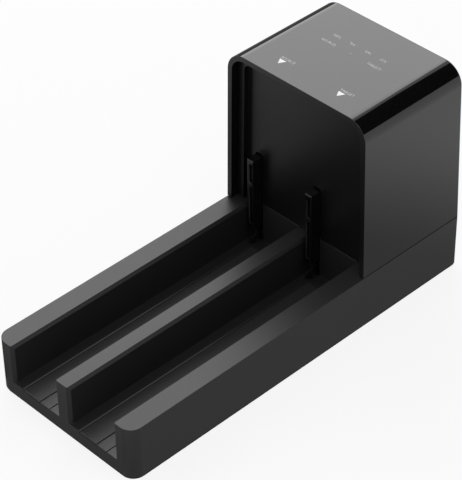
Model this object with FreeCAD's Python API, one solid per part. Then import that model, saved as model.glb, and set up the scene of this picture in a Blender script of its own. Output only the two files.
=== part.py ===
import FreeCAD, Part
import math
import os

V = FreeCAD.Vector

# How far a cutting shape runs past the face that it opens, and the least that it does
over = 1.0
hair = 0.01

# The frame: X across the two drive channels, Y from the open mouth to the rear, Z up.
# The origin is on the table under the middle of the base. All sizes are in millimetres.

# Base
outer_wall = 10.65
base_length = 198.0
base_height = 26.8
foot_stand = 0.8
front_corner_radius = 6.0
rear_corner_radius = 1.2
base_skin = 2.4
wall_top_skin = 2.2
rib_thickness = 1.5
rib_pitch = 24.0
first_rib = 18.0
tab_length = 8.0
tab_thickness = 1.6
tab_rise = 2.6
tab_root = 8.0
tab_spacing = 3.2

# Drive channels
channel_width = 27.0
middle_wall = 8.7
channel_skin = 2.0
floor_height = 6.6
floor_thickness = 2.4
back_wall = 2.2
lead_in_width = 0.9
lead_in_drop = 1.5
mouth_chamfer = 1.4

# Soft strip in each channel floor, and the narrow groove beside it
pad_offset = 5.3
pad_width = 10.9
pad_thickness = 1.0
pad_gap = 0.15
groove_offset = 21.9
groove_width = 0.4
groove_depth = 0.3

# Tower shell
tower_height = 107.0
tower_depth = 62.3
tower_edge_radius = 9.8
shell_wall = 2.6
shell_draft = 1.15
shell_rear_radius = 1.2
seam_gap = 0.4
shell_post_height = 22.0

# Front panel, set back in the mouth of the shell
ledge_depth = 3.8
ledge_width = 3.7
panel_step = 3.0
panel_thickness = 2.0
panel_gap = 0.15
stop_size = 1.6
stop_height = 6.0
stop_levels = (0.15, 0.5, 0.85)

# Drive connectors: the standard receptacle for 3.5 and 2.5 inch drives
drive_side_gap = 0.1
tongue_offset = 3.5
tongue_rise = 28.1
housing_above = 18.6
housing_below = 19.1
housing_reach = 5.9
housing_chamfer = 0.35
contact_wall = 1.75
plain_wall = 0.7
cavity_width = 1.5
cavity_depth = 4.6
signal_length = 10.4
key_gap = 2.4
power_length = 20.6
key_foot = 1.1
key_foot_reach = 0.35
contact_pitch = 1.27
contact_width = 0.7
contact_thickness = 0.2
contact_setback = 1.3
contact_bow = 0.2
groove_play = 0.12
comb_depth = 0.6
signal_contacts = 7
power_contacts = 15
flange_margin = 1.2
flange_gap = 0.15
tail_width = 3.0
tail_gap = 0.4
slot_gap = 0.15
slot_headroom = 0.9
slot_corner = 1.2
floor_slot_lead = 0.4
pad_end_gap = 1.0

# Circuit boards
board_thickness = 1.6
board_side_gap = 0.5
board_lift = 4.5
board_rear_gap = 0.4
backplane_gap = 2.0
backplane_height = 52.0
backplane_side = 12.0
backplane_boss_radius = 2.6
backplane_boss_rise = 5.7
left_boss_side = 12.0
right_boss_side = 9.6
card_socket_width = 4.4
card_socket_length = 26.0
card_socket_height = 6.0
card_slot_gap = 0.05
indicator_board_drop = 9.0
indicator_board_width = 46.0
indicator_board_depth = 30.0
indicator_board_thickness = 1.2
indicator_corner = 1.0
indicator_screw_inset = 3.2
main_screw_inset = 4.0
main_screw_front = 8.0
main_screw_rear = 13.6

# Parts on the boards
controller_size = 12.0
controller_height = 1.4
bridge_size = 9.0
bridge_height = 1.2
bridge_spacing = 32.0
memory_size = 5.0
memory_height = 1.0
memory_offset = 10.0
package_gap = 1.6
row_gap = 0.85
capacitor_radius = 3.1
capacitor_height = 7.0
capacitor_pitch = 7.5
capacitor_count = 3
capacitor_groove = 0.3
capacitor_groove_rise = 1.2
capacitor_groove_height = 0.6
inductor_size = 7.0
inductor_height = 4.0
crystal_length = 5.0
crystal_width = 3.2
crystal_height = 1.1
lamp_pitch = 8.75
lamp_length = 3.2
lamp_width = 1.6
lamp_height = 0.8
lamp_gap = 0.2
lamp_count = 4
lamp_row_spacing = 6.0
guide_plate = 2.0
guide_margin = 4.0
guide_foot_radius = 1.9
guide_top_radius = 2.6
guide_leg = 2.8

# Flat cable between the boards
cable_width = 12.0
cable_thickness = 0.4
cable_bend = 3.0
cable_socket_height = 3.0
cable_socket_wall = 1.2
cable_play = 0.05

# Bottom plate and feet
plate_thickness = 1.8
plate_recess = 0.3
plate_gap = 0.2
foot_radius = 5.0
foot_seat_depth = 0.5
foot_inset_x = 12.0
foot_inset_y = 15.0

# Fasteners
post_radius = 3.6
post_inset = 6.4
front_post_offset = 14.8
rear_post_offset = 8.0
front_boss_offset = 31.2
boss_ribs_apart = 4
boss_radius = 3.1
pilot_radius = 1.3
clearance_radius = 1.6
screw_core = 1.25
screw_head_radius = 2.8
screw_head_height = 1.4
thread_length = 9.0
small_pilot = 1.0
small_core = 0.95
small_head_radius = 1.9
small_head_height = 1.2
small_thread = 3.4
thread_play = 0.4
standoff_radius = 2.8
cross_reach = 0.55
cross_half_width = 0.12
cross_depth = 0.28

# Rear ports
port_recess_depth = 2.4
port_recess_half_width = 31.0
port_recess_low = 3.4
port_recess_top = 2.0
port_wall = 2.2
port_gap = 0.2

switch_inset = 19.5
rocker_width = 10.6
rocker_height = 7.0
rocker_tilt = 8.0
rocker_gap = 0.3
rocker_crown = 0.6
bezel_width = 14.6
bezel_height = 11.2
bezel_thickness = 1.0
bezel_overlap = 0.7
bezel_corner = 1.2
switch_depth = 12.0
switch_rise = 7.0
pivot_depth = 2.4
pivot_radius = 0.9
pivot_gap = 0.06
pivot_seat = 0.6
pivot_reach = 0.5
pocket_depth = 3.4
rocker_keel = 1.6
rocker_shoulder = 0.4
rocker_bevel = 0.25
rocker_dip = 0.3
rocker_face_drop = 0.1

switch_to_jack = 14.5
jack_width = 9.0
jack_height = 11.0
jack_depth = 13.5
jack_rise = 6.3
jack_bore = 3.15
jack_bore_depth = 10.0
jack_corner = 1.0
jack_rim = 0.4
jack_pin = 1.05
jack_pin_setback = 1.0
jack_pin_round = 0.63

button_to_usb = 13.0
usb_width = 11.6
usb_height = 10.6
usb_depth = 16.5
usb_wall = 0.4
usb_corner = 0.8
usb_block = 5.0
usb_joint = 1.0
usb_liner_wall = 1.1
usb_liner_setback = 0.5
usb_liner_chamfer = 1.5
usb_tongue_width = 5.6
usb_tongue_thickness = 3.0
usb_tongue_setback = 1.2
usb_contact_width = 1.0
usb_contact_thickness = 0.2
usb_contact_setback = 2.0

button_inset = 18.5
button_rise = 4.6
button_radius = 3.3
button_proud = 1.3
button_travel = 0.8
button_flange = 1.0
button_flange_thickness = 1.0
button_edge = 0.5
button_dish_radius = 14.0
button_dish_depth = 0.25
button_gap = 0.25
plunger_radius = 1.5
plunger_length = 2.4
plunger_gap = 0.08
tact_width = 6.4
tact_height = 6.8
tact_depth = 4.4
tact_gap = 0.3
tact_chamfer = 0.5

# Levels and stations worked out from the sizes above
base_width = middle_wall + 2 * (channel_width + outer_wall)
half_width = base_width / 2
front_y = -base_length / 2
rear_y = base_length / 2
base_bottom = foot_stand
base_top = foot_stand + base_height
floor_top = foot_stand + floor_height
floor_under = floor_top - floor_thickness
plate_bottom = base_bottom + plate_recess
plate_top = plate_bottom + plate_thickness
tower_top = foot_stand + tower_height
rim_y = rear_y - tower_depth
shell_bottom = base_top + seam_gap
ledge_y = rim_y + ledge_depth
panel_y = ledge_y + panel_step
bay_front = panel_y + back_wall
wall_cavity_top = base_top - wall_top_skin
board_bottom = plate_top + board_lift
board_top = board_bottom + board_thickness
recess_y = rear_y - port_recess_depth
port_inner_y = recess_y - port_wall
board_rear = port_inner_y - board_rear_gap
backplane_front = bay_front + backplane_gap
backplane_rear = backplane_front + board_thickness
connector_z = floor_top + tongue_rise
connector_low = connector_z - housing_below
connector_high = connector_z + housing_above
housing_front = panel_y - housing_reach
cavity_rear = housing_front + cavity_depth
slot_top = connector_high + slot_headroom
floor_slot_front = housing_front - floor_slot_lead
pad_rear = floor_slot_front - pad_end_gap
draft_slope = math.tan(math.radians(shell_draft))
post_x = half_width - post_inset
board_half_width = post_x - post_radius - board_side_gap
rocker_x = switch_inset - half_width
jack_x = rocker_x + switch_to_jack
button_x = half_width - button_inset
usb_x = button_x - button_to_usb
front_post_y = panel_y + front_post_offset
rear_post_y = rear_y - rear_post_offset
channel_sides = {"left": -1, "right": 1}


def box(x0, x1, y0, y1, z0, z1):
    """Block between two corners."""
    return Part.makeBox(x1 - x0, y1 - y0, z1 - z0, V(x0, y0, z0))


def upright(x, y, radius, z0, z1):
    """Round column that stands along Z."""
    return Part.makeCylinder(radius, z1 - z0, V(x, y, z0))


def along_y(x, z, radius, y0, y1):
    """Round bar that lies along Y."""
    return Part.makeCylinder(radius, y1 - y0, V(x, y0, z), V(0, 1, 0))


def prism(points, direction):
    """Flat outline pulled along a direction."""
    corners = [V(*point) for point in points]
    face = Part.Face(Part.makePolygon(corners + corners[:1]))
    return face.extrude(V(*direction))


def fuse(first, *others):
    """One solid out of several that touch, with its faces merged."""
    joined = first
    for other in others:
        joined = joined.fuse(other)
    return joined.removeSplitter()


def edges_where(shape, axis, test):
    """Straight edges that run along an axis and whose middle passes a test."""
    found = []
    for edge in shape.Edges:
        if edge.Curve.TypeId != "Part::GeomLine":
            continue
        direction = edge.Vertexes[-1].Point - edge.Vertexes[0].Point
        direction.normalize()
        if abs(abs(direction[axis]) - 1) > 1e-6:
            continue
        middle = (edge.Vertexes[0].Point + edge.Vertexes[-1].Point) * 0.5
        if test(middle):
            found.append(edge)
    return found


def rounded(shape, radius, axis, test=lambda middle: True):
    """Round the straight edges along an axis that pass a test."""
    return shape.makeFillet(radius, edges_where(shape, axis, test))


def mirrored(shape):
    """The same shape on the other side of the middle plane."""
    return shape.mirror(V(0, 0, 0), V(1, 0, 0))


def channel_left(side):
    """X of the left face of a channel."""
    if side < 0:
        return -middle_wall / 2 - channel_width
    return middle_wall / 2


def tongue_x(side):
    """X of the middle plane of a drive connector's blade slot."""
    return channel_left(side) + drive_side_gap + tongue_offset


def housing_sides(side):
    """X of the left and right faces of a drive connector, whose contact wall is the thick one."""
    left = tongue_x(side) - cavity_width / 2 - contact_wall
    right = tongue_x(side) + cavity_width / 2 + plain_wall
    return left, right


def base_plan(inset, z0, z1):
    """Plan of the base, drawn in on all sides and raised between two levels."""
    x = half_width - inset
    y = rear_y - inset
    block = box(-x, x, -y, y, z0, z1)
    front = max(front_corner_radius - inset, base_skin / 4)
    rear = max(rear_corner_radius - inset, base_skin / 4)
    block = rounded(block, front, 2, lambda middle: middle.y < 0)
    return rounded(block, rear, 2, lambda middle: middle.y > 0)


def channel_space(side):
    """Room of one channel, flared at its upper edges and at its mouth."""
    x0 = channel_left(side)
    x1 = x0 + channel_width
    above = base_top + over
    front = front_y - over
    flare = lead_in_width
    profile = [(x0, front, floor_top), (x1, front, floor_top), (x1, front, base_top - lead_in_drop),
               (x1 + flare, front, base_top), (x1 + flare, front, above), (x0 - flare, front, above),
               (x0 - flare, front, base_top), (x0, front, base_top - lead_in_drop)]
    room = prism(profile, (0, panel_y - front, 0))
    wide = mouth_chamfer + over
    mouth = [(x0 - wide, front, floor_top), (x1 + wide, front, floor_top),
             (x1, front_y + mouth_chamfer, floor_top), (x0, front_y + mouth_chamfer, floor_top)]
    return room.fuse(prism(mouth, (0, 0, above - floor_top)))


def floor_details(side):
    """Seat of the soft strip and the narrow groove in one channel floor."""
    x0 = channel_left(side)
    seat = box(x0 + pad_offset, x0 + pad_offset + pad_width, front_y - over, pad_rear + pad_gap,
               floor_top - pad_thickness, floor_top + over)
    groove = box(x0 + groove_offset, x0 + groove_offset + groove_width, front_y - over, panel_y,
                 floor_top - groove_depth, floor_top + over)
    return seat.fuse(groove)


def connector_slot(side, z0, z1):
    """Slot that a drive connector passes, open at its lower end."""
    left, right = housing_sides(side)
    return box(left - slot_gap, right + slot_gap, panel_y - over, bay_front + over, z0, z1)


def floor_slot(side):
    """Opening in the floor under a drive connector, with a round front end."""
    left, right = housing_sides(side)
    half = (right - left) / 2 + slot_gap
    x = (left + right) / 2
    y = floor_slot_front + half
    z0 = floor_under - over
    z1 = floor_top + over
    return box(x - half, x + half, y, bay_front, z0, z1).fuse(upright(x, y, half, z0, z1))


def rib_set():
    """Cross ribs and lengthwise ribs that stiffen the base from below."""
    ribs = []
    first = front_y + first_rib
    count = int((panel_y - rib_thickness - first) / rib_pitch) + 1
    for index in range(count):
        y = first + index * rib_pitch
        ribs.append(box(-half_width, half_width, y, y + rib_thickness, plate_top, base_top))
    inner = middle_wall / 2 - channel_skin
    outer = middle_wall / 2 + channel_width
    for x in (inner, outer):
        ribs.append(box(x, x + channel_skin, front_y, bay_front, plate_top, base_top))
        ribs.append(box(-x - channel_skin, -x, front_y, bay_front, plate_top, base_top))
    return Part.makeCompound(ribs)


def front_boss_places():
    """Screw bosses inside the two outer walls."""
    x = half_width - base_skin - (outer_wall - base_skin - channel_skin) / 2
    near = front_y + front_boss_offset
    far = near + rib_pitch * boss_ribs_apart
    return [(sx * x, y) for sx in (-1, 1) for y in (near, far)]


def post_places():
    """The four posts that carry the tower."""
    return [(sx * post_x, y) for sx in (-1, 1) for y in (front_post_y, rear_post_y)]


def underside_space():
    """All the room inside the base that is open from below."""
    below = base_bottom - over
    inside = base_plan(base_skin, below, wall_cavity_top)
    drive_zone = box(-half_width, half_width, front_y, bay_front, below, base_top)
    under_floor = inside.common(box(-half_width, half_width, front_y, panel_y, below, floor_under))
    outer = middle_wall / 2 + channel_width + channel_skin
    inner = middle_wall / 2 - channel_skin
    walls = [box(outer, half_width, front_y, panel_y, below, wall_cavity_top),
             box(-half_width, -outer, front_y, panel_y, below, wall_cavity_top),
             box(-inner, inner, front_y, panel_y, below, wall_cavity_top)]
    space = under_floor
    for wall in walls:
        space = space.fuse(wall.common(inside).common(drive_zone))
    space = space.cut(rib_set())
    for x, y in front_boss_places():
        space = space.cut(upright(x, y, boss_radius, plate_top, base_top))
    return space.fuse(base_plan(base_skin, below, plate_top))


def electronics_bay():
    """Open room behind the channels that holds the main board."""
    room = base_plan(base_skin, base_bottom - over, base_top + over)
    room = room.common(box(-half_width, half_width, bay_front, rear_y, base_bottom - over, base_top + over))
    half = port_recess_half_width + base_skin
    room = room.cut(box(-half, half, port_inner_y, rear_y, plate_top, base_top + 2 * over))
    for x, y in post_places():
        web = math.copysign(half_width - base_skin / 2, x)
        post = upright(x, y, post_radius, plate_top, base_top + 2 * over)
        room = room.cut(post)
        room = room.cut(box(min(x, web), max(x, web), y - rib_thickness / 2, y + rib_thickness / 2,
                            plate_top, base_top))
    return room


def switch_z():
    """Height of the power switch, whose body clears the main board."""
    return board_top + switch_rise


def port_cutouts():
    """Openings in the rear wall for the switch, the power jack, the data socket and the button."""
    y0 = port_inner_y - over
    y1 = recess_y + over
    half_w = bezel_width / 2 - bezel_overlap
    half_h = bezel_height / 2 - bezel_overlap
    cuts = box(rocker_x - half_w - port_gap, rocker_x + half_w + port_gap, y0, y1,
               switch_z() - half_h - port_gap, switch_z() + half_h + port_gap)
    half_jack = jack_width / 2 + port_gap
    cuts = cuts.fuse(box(jack_x - half_jack, jack_x + half_jack, y0, y1,
                         board_top - port_gap, board_top + jack_height + port_gap))
    half_usb = usb_width / 2 + port_gap
    cuts = cuts.fuse(box(usb_x - half_usb, usb_x + half_usb, y0, y1,
                         board_top - port_gap, board_top + usb_height + port_gap))
    return cuts.fuse(along_y(button_x, board_top + button_rise, button_radius + button_gap, y0, y1))


def locating_tabs():
    """Tabs on the inside of the base that line up the shell."""
    outer = half_width - shell_wall - plate_gap - draft_slope * tab_rise
    middle = (bay_front + rear_y) / 2
    tabs = []
    for y in (middle - tab_spacing / 2 - tab_length, middle + tab_spacing / 2):
        low = box(outer - tab_thickness, half_width - base_skin / 2, y, y + tab_length,
                  base_top - tab_root, base_top)
        high = box(outer - tab_thickness, outer, y, y + tab_length, base_top - tab_root, base_top + tab_rise)
        tabs.append(low.fuse(high))
    tabs += [mirrored(tab) for tab in tabs]
    return tabs


def backplane_boss_places():
    """Screw places of the upright board, beside the two connectors."""
    z = board_top + card_socket_height + backplane_boss_rise
    return [(tongue_x(-1) + left_boss_side, z), (tongue_x(1) + right_boss_side, z)]


def make_base_cradle():
    """Moulded base: two drive channels in front, the electronics bay behind."""
    body = base_plan(0, base_bottom, base_top)
    for side in channel_sides.values():
        body = body.cut(channel_space(side)).cut(floor_details(side))
    body = body.cut(underside_space()).cut(electronics_bay())
    recess = box(-port_recess_half_width, port_recess_half_width, recess_y, rear_y + over,
                 base_bottom + port_recess_low, base_top - port_recess_top)
    body = body.cut(rounded(recess, base_skin / 2, 1))
    body = body.cut(port_cutouts())
    for side in channel_sides.values():
        body = body.cut(floor_slot(side)).cut(connector_slot(side, floor_under - over, base_top + over))
    for x, z in backplane_boss_places():
        body = body.fuse(along_y(x, z, backplane_boss_radius, bay_front - back_wall / 2, backplane_front))
    for tab in locating_tabs():
        body = body.fuse(tab)
    for x, z in backplane_boss_places():
        body = body.cut(along_y(x, z, small_pilot, backplane_front - small_thread, backplane_front + over))
    for x, y in front_boss_places():
        body = body.cut(upright(x, y, pilot_radius, plate_top - over, plate_top + thread_length + over))
    for x, y in post_places():
        body = body.cut(upright(x, y, clearance_radius, plate_top - over, base_top + over))
    return body.removeSplitter()


def make_pad(side):
    """Soft strip that carries the edge of a drive."""
    x0 = channel_left(side) + pad_offset + pad_gap
    x1 = x0 + pad_width - 2 * pad_gap
    strip = box(x0, x1, front_y + pad_gap, pad_rear, floor_top - pad_thickness, floor_top)
    upper = edges_where(strip, 1, lambda middle: middle.z > floor_top - pad_thickness / 2)
    return strip.makeFillet(pad_thickness / 4, upper)


def tower_block(inset, y0, y1, z0):
    """Block with the upright outline of the tower: sides that lean in and round upper edges."""
    top = tower_top - inset
    low = half_width - inset - draft_slope * (z0 - shell_bottom)
    high = half_width - inset - draft_slope * (top - shell_bottom)
    block = prism([(-low, y0, z0), (low, y0, z0), (high, y0, top), (-high, y0, top)], (0, y1 - y0, 0))
    radius = max(tower_edge_radius - inset, panel_thickness / 2)
    return rounded(block, radius, 1, lambda middle: middle.z > top - over)


def rear_wedge(inset):
    """What lies behind the leaning rear face of the tower."""
    low = base_top - over
    high = tower_top + over
    y_low = rear_y - inset - draft_slope * (low - shell_bottom)
    y_high = rear_y - inset - draft_slope * (high - shell_bottom)
    behind = rear_y + tower_depth
    outline = [(-base_width, y_low, low), (-base_width, behind, low),
               (-base_width, behind, high), (-base_width, y_high, high)]
    return prism(outline, (2 * base_width, 0, 0))


def panel_stop_levels():
    """Heights of the blocks that the front panel rests against."""
    span = tower_top - tower_edge_radius - shell_bottom
    return [shell_bottom + span * share for share in stop_levels]


def indicator_board_level():
    """Underside of the indicator board."""
    return tower_top - shell_wall - indicator_board_drop - indicator_board_thickness


def indicator_board_front():
    """Front edge of the indicator board, centred in the tower."""
    return (bay_front + rear_y - shell_wall - indicator_board_depth) / 2


def indicator_screw_places():
    """Four corners of the indicator board."""
    x = indicator_board_width / 2 - indicator_screw_inset
    y0 = indicator_board_front() + indicator_screw_inset
    y1 = indicator_board_front() + indicator_board_depth - indicator_screw_inset
    return [(sx * x, y) for sx in (-1, 1) for y in (y0, y1)]


def make_tower_shell():
    """Glossy cover: an open-fronted hood with a leaning rear wall."""
    outer = tower_block(0, rim_y, rear_y + over, shell_bottom).cut(rear_wedge(0))
    rear_edges = [edge for edge in outer.Edges
                  if min(vertex.Point.y for vertex in edge.Vertexes) > rear_y - tower_depth / 4
                  and min(vertex.Point.z for vertex in edge.Vertexes) > shell_bottom - over
                  and edge.CenterOfMass.z > shell_bottom + over]
    outer = outer.makeFillet(shell_rear_radius, rear_edges)
    inner = tower_block(shell_wall, rim_y - over, rear_y + over, shell_bottom - over)
    shell = outer.cut(inner.cut(rear_wedge(shell_wall)))
    post_top = base_top + shell_post_height
    for x, y in post_places():
        wall_x = math.copysign(half_width - shell_wall / 2 - draft_slope * shell_post_height, x)
        web = box(min(x, wall_x), max(x, wall_x), y - rib_thickness / 2, y + rib_thickness / 2,
                  shell_bottom, post_top)
        shell = shell.fuse(upright(x, y, post_radius, base_top, post_top)).fuse(web)
    for x, y in post_places():
        shell = shell.cut(upright(x, y, pilot_radius, base_top - over, base_top + thread_length + over))
    stop_y = ledge_y + panel_thickness
    for z in panel_stop_levels():
        lean = draft_slope * (z - shell_bottom)
        x_out = half_width - shell_wall / 2 - lean
        x_in = half_width - shell_wall - stop_size - lean
        stop = box(x_in, x_out, stop_y, stop_y + stop_size * 2, z, z + stop_height)
        shell = shell.fuse(stop).fuse(mirrored(stop))
    for x, y in indicator_screw_places():
        low = indicator_board_level() + indicator_board_thickness
        shell = shell.fuse(upright(x, y, standoff_radius, low, tower_top - shell_wall / 2))
        shell = shell.cut(upright(x, y, small_pilot, low - over, low + small_thread + over))
    return shell.removeSplitter()


def make_front_panel():
    """Glossy panel with a flange all round, stepped back to a flat face."""
    outer_inset = shell_wall + panel_gap
    step_inset = outer_inset + ledge_width
    flange = tower_block(outer_inset, ledge_y, ledge_y + panel_thickness, shell_bottom)
    tray = tower_block(step_inset - panel_thickness, ledge_y, panel_y + panel_thickness, shell_bottom)
    hollow = tower_block(step_inset, ledge_y - over, panel_y, shell_bottom - over)
    panel = flange.fuse(tray).cut(hollow)
    for side in channel_sides.values():
        slot = connector_slot(side, shell_bottom - over, slot_top)
        panel = panel.cut(rounded(slot, slot_corner, 1, lambda middle: middle.z > slot_top - over))
    return panel.removeSplitter()


def cavity(side, z0, z1):
    """Blade slot of a drive connector with its L-shaped foot at the lower end."""
    x = tongue_x(side)
    half = cavity_width / 2
    main = box(x - half, x + half, housing_front - over, cavity_rear, z0, z1)
    foot = box(x, x + half + key_foot_reach, housing_front - over, cavity_rear, z0, z0 + key_foot)
    return main.fuse(foot)


def cavity_spans():
    """Lower and upper ends of the power and the signal slots."""
    total = power_length + key_gap + signal_length
    low = connector_z - total / 2
    return ((low, low + power_length), (low + power_length + key_gap, low + total))


def contact_levels():
    """Heights of all the contacts, centred in both slots."""
    levels = []
    for (z0, z1), count in zip(cavity_spans(), (power_contacts, signal_contacts)):
        first = (z0 + z1 - (count - 1) * contact_pitch) / 2
        levels += [first + index * contact_pitch for index in range(count)]
    return levels


def groove_comb(side):
    """Grooves in the thick wall of a drive connector, one for each contact, open to its mouth."""
    x = tongue_x(side) - cavity_width / 2
    half = contact_width / 2 + groove_play
    floor = x - comb_depth
    return Part.makeCompound([box(floor, x + hair, housing_front - over, cavity_rear, z - half, z + half)
                              for z in contact_levels()])


def make_sata_housing(side):
    """Black receptacle body: power slot below, signal slot above, a contact comb, a flange and a tail."""
    left, right = housing_sides(side)
    body = box(left, right, housing_front, backplane_front, connector_low, connector_high)
    mouth = [edge for edge in body.Edges
             if max(vertex.Point.y for vertex in edge.Vertexes) < housing_front + over]
    body = body.makeChamfer(housing_chamfer, mouth)
    for z0, z1 in cavity_spans():
        body = body.cut(cavity(side, z0, z1))
    body = body.cut(groove_comb(side))
    flange = box(left - flange_margin, right + flange_margin, bay_front + flange_gap, backplane_front,
                 connector_low - flange_margin, connector_high + flange_margin)
    tail = box(left, left + tail_width, bay_front + flange_gap, backplane_front,
               board_top + tail_gap, connector_low)
    return fuse(body, flange, tail)


def contact_spring(x, z):
    """One contact: a strip that lies in its groove and bows out into the blade slot."""
    floor = x - comb_depth
    peak = x + contact_bow
    rear = cavity_rear
    tip = housing_front + contact_setback
    middle = (rear + tip) / 2
    low = z - contact_width / 2
    thick = contact_thickness
    outer = Part.Arc(V(floor + thick, tip, low), V(peak, middle, low), V(floor + thick, rear, low)).toShape()
    inner = Part.Arc(V(floor, rear, low), V(peak - thick, middle, low), V(floor, tip, low)).toShape()
    rear_end = Part.makeLine(V(floor + thick, rear, low), V(floor, rear, low))
    tip_end = Part.makeLine(V(floor, tip, low), V(floor + thick, tip, low))
    return Part.Face(Part.Wire([outer, rear_end, inner, tip_end])).extrude(V(0, 0, contact_width))


def make_sata_contacts(side):
    """Gold-plated contacts in the comb of both slots."""
    x = tongue_x(side) - cavity_width / 2
    return Part.makeCompound([contact_spring(x, z) for z in contact_levels()])


def backplane_sides():
    """Left and right edges of the upright board."""
    return (housing_sides(-1)[0] - flange_margin, tongue_x(1) + backplane_side)


def card_socket_x():
    """Middle of the board-to-board socket, halfway between the two connectors."""
    return (tongue_x(-1) + tongue_x(1)) / 2


def make_backplane_board():
    """Upright board that carries both drive connectors, standing in the card socket."""
    left, right = backplane_sides()
    bottom = board_top + card_socket_height
    board = box(left, right, backplane_front, backplane_rear, bottom, bottom + backplane_height)
    tongue = card_socket_length / 2 - board_thickness
    middle = card_socket_x()
    board = board.fuse(box(middle - tongue, middle + tongue, backplane_front, backplane_rear,
                           board_top + board_thickness, bottom + over))
    for x, z in backplane_boss_places():
        hole = along_y(x, z, small_pilot + port_gap, backplane_front - over, backplane_rear + over)
        board = board.cut(hole)
    return board.removeSplitter()


def make_card_socket():
    """Socket on the main board that grips the lower edge of the upright board."""
    middle_y = (backplane_front + backplane_rear) / 2
    middle_x = card_socket_x()
    half = card_socket_length / 2
    body = box(middle_x - half, middle_x + half, middle_y - card_socket_width / 2,
               middle_y + card_socket_width / 2, board_top, board_top + card_socket_height)
    reach = half - board_thickness + card_slot_gap
    slot = box(middle_x - reach, middle_x + reach,
               backplane_front - card_slot_gap, backplane_rear + card_slot_gap,
               board_top + board_thickness, board_top + card_socket_height + over)
    return body.cut(slot)


def main_screw_places():
    """Screw places near the corners of the main board."""
    x = board_half_width - main_screw_inset
    rows = (main_board_front() + main_screw_front, board_rear - main_screw_rear)
    return [(sx * x, y) for sx in (-1, 1) for y in rows]


def main_board_front():
    """Front edge of the main board, just behind the channel back walls."""
    return bay_front + board_rear_gap


def make_main_board():
    """Flat board with all the ports along its rear edge."""
    board = box(-board_half_width, board_half_width, main_board_front(), board_rear, board_bottom, board_top)
    board = rounded(board, board_thickness, 2)
    for x, y in main_screw_places():
        board = board.cut(upright(x, y, small_pilot + port_gap, board_bottom - over, board_top + over))
    return board


def chip(x, y, size, height, z):
    """Flat square package with a chamfered upper edge."""
    body = box(x - size / 2, x + size / 2, y - size / 2, y + size / 2, z, z + height)
    rim = [edge for edge in body.Edges if min(vertex.Point.z for vertex in edge.Vertexes) > z + height / 2]
    return body.makeChamfer(height / 4, rim)


def capacitor_row_y():
    """Station of the capacitors, behind the power jack's inner end."""
    return recess_y - jack_depth - package_gap - capacitor_radius


def package_row_y():
    """Station of the controller and the two bridges, in front of the capacitors."""
    return capacitor_row_y() - capacitor_radius - row_gap - controller_size / 2


def make_controller_chips():
    """The duplicator controller, a bridge for each drive and the memory."""
    y = package_row_y()
    front_y_of_row = y - controller_size / 2 - package_gap - memory_size / 2
    side = bridge_spacing / 2
    chips = [chip(0, y, controller_size, controller_height, board_top),
             chip(-side, y, bridge_size, bridge_height, board_top),
             chip(side, y, bridge_size, bridge_height, board_top),
             chip(memory_offset, front_y_of_row, memory_size, memory_height, board_top)]
    return Part.makeCompound(chips)


def make_capacitors():
    """Round electrolytic capacitors behind the power jack, each with a rolled groove."""
    y = capacitor_row_y()
    x0 = jack_x - capacitor_pitch * (capacitor_count - 1) / 2
    low = board_top + capacitor_groove_rise
    high = low + capacitor_groove_height
    cans = []
    for index in range(capacitor_count):
        x = x0 + index * capacitor_pitch
        can = upright(x, y, capacitor_radius, board_top, board_top + capacitor_height)
        ring = upright(x, y, capacitor_radius + over, low, high)
        ring = ring.cut(upright(x, y, capacitor_radius - capacitor_groove, low - over, high + over))
        cans.append(can.cut(ring))
    return Part.makeCompound(cans)


def make_inductors():
    """Shielded power inductors of the two drive supplies."""
    x = board_half_width - inductor_size / 2 - package_gap / 2
    return Part.makeCompound([chip(sx * x, package_row_y(), inductor_size, inductor_height, board_top)
                              for sx in (-1, 1)])


def make_crystals():
    """Low metal crystal cans in front of the two bridges."""
    y = package_row_y() - bridge_size / 2 - package_gap - crystal_width / 2
    cans = []
    for x in (-bridge_spacing / 2, bridge_spacing / 2 + crystal_length / 2):
        can = box(x - crystal_length / 2, x + crystal_length / 2,
                  y - crystal_width / 2, y + crystal_width / 2,
                  board_top, board_top + crystal_height)
        cans.append(rounded(can, crystal_width / 4, 2))
    return Part.makeCompound(cans)


def make_bottom_plate():
    """Flat plate that closes the base from below and carries the main board."""
    plate = base_plan(base_skin + plate_gap, plate_bottom, plate_top)
    for x, y in foot_places():
        plate = plate.cut(upright(x, y, foot_radius + plate_gap / 2,
                                  plate_bottom - over, plate_bottom + foot_seat_depth))
    sink_depth = screw_head_height
    for x, y in front_boss_places() + post_places():
        wide = screw_head_radius + plate_gap
        sink = Part.makeCone(wide, clearance_radius, sink_depth, V(x, y, plate_bottom))
        plate = plate.cut(sink).cut(upright(x, y, clearance_radius, plate_bottom - over, plate_top + over))
    for x, y in main_screw_places():
        plate = plate.fuse(upright(x, y, standoff_radius, plate_top, board_bottom))
        plate = plate.cut(upright(x, y, small_pilot, board_bottom - small_thread, board_bottom + over))
    return plate.removeSplitter()


def foot_places():
    """Places of the four feet."""
    x = half_width - foot_inset_x
    y = rear_y - foot_inset_y
    return [(sx * x, sy * y) for sx in (-1, 1) for sy in (-1, 1)]


def make_feet():
    """Round rubber feet, each seated in a shallow recess of the bottom plate."""
    feet = []
    for x, y in foot_places():
        foot = upright(x, y, foot_radius, 0, plate_bottom + foot_seat_depth)
        low = [edge for edge in foot.Edges if edge.CenterOfMass.z < foot_stand / 4 and len(edge.Vertexes) == 1
               and edge.Curve.TypeId == "Part::GeomCircle"]
        feet.append(foot.makeChamfer(foot_stand / 3, low))
    return Part.makeCompound(feet)


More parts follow.
